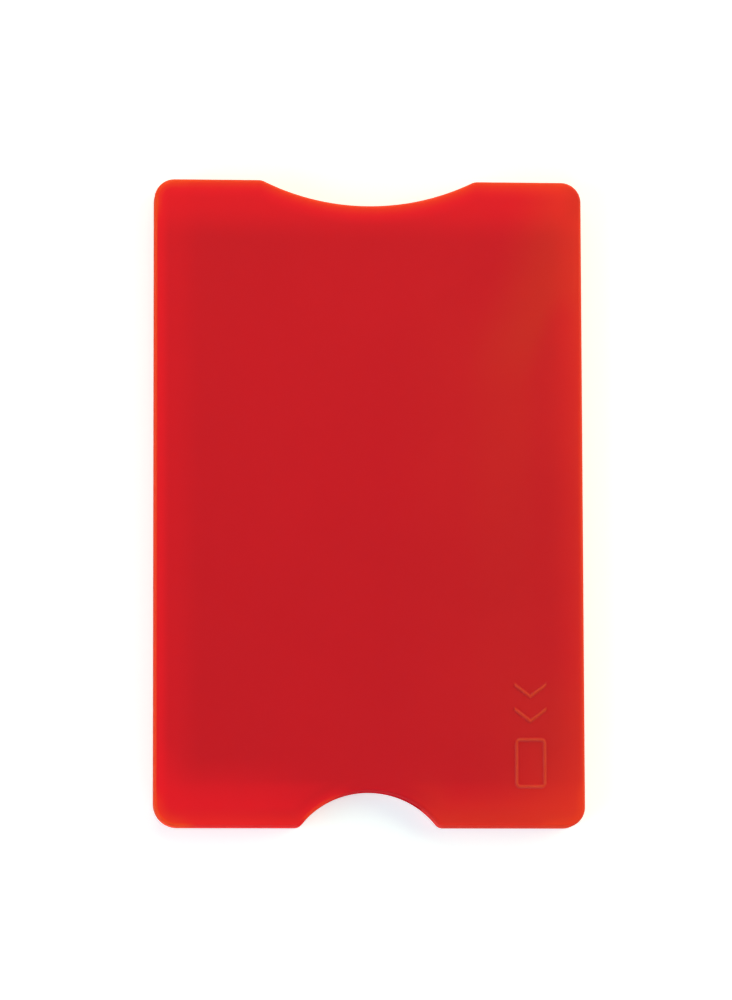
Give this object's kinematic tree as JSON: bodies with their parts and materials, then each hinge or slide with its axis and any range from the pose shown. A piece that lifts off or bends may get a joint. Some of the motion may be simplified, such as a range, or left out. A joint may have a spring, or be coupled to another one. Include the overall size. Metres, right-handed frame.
{
  "type": "card holder",
  "caption": "Slim rigid sleeve that holds and shields one payment-size card, with a finger scoop at its open end and a thumb notch that pushes the card out.",
  "frame": {"origin": "middle of the footprint, on the rear face that the sleeve lies on", "axes": "+Z out of the front face, +Y towards the open mouth that the card slides in at, +X to the right seen from the front"},
  "size_m": [0.0598, 0.0904, 0.0042],
  "materials": {
    "red_plastic": "satin",
    "aluminium_foil": "satin",
    "white_tape": "matte"
  },
  "bodies": {
    "root": {"front_shell": "red_plastic", "rear_shell": "red_plastic", "front_shield": "aluminium_foil", "rear_shield": "aluminium_foil", "front_tape": "white_tape", "rear_tape": "white_tape"}
  },
  "joints": []
}
